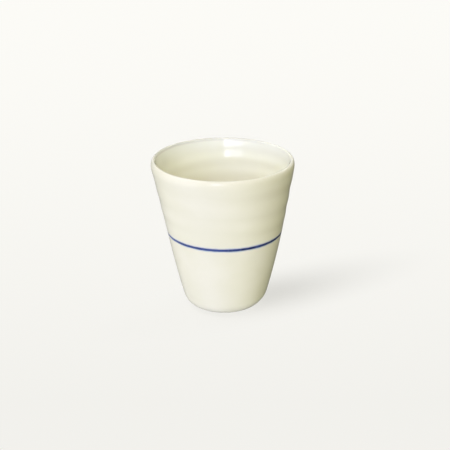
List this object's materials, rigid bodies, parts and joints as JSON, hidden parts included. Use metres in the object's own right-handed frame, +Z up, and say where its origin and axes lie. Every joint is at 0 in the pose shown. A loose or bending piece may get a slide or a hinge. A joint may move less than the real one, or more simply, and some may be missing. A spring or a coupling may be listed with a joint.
{
  "type": "porcelain cup",
  "caption": "Hand-thrown, handle-less porcelain cup: a tapered tumbler with a rounded heel, ivory gloss glaze and a thin cobalt line round the middle, for hot or cold drinks.",
  "frame": {"origin": "centre of the foot ring, on the table that the cup stands on", "axes": "+Z up along the cup's axis, X and Y level, the cup is round so neither is special"},
  "size_m": [0.08, 0.08, 0.088],
  "materials": {
    "bare_porcelain": "unglazed, sponged smooth",
    "ivory_glaze": "gloss",
    "cobalt": "gloss"
  },
  "bodies": {
    "root": {"clay_body": "bare_porcelain", "liner_glaze": "ivory_glaze", "outer_glaze": "ivory_glaze", "base_glaze": "ivory_glaze", "cobalt_line": "cobalt"}
  },
  "joints": []
}
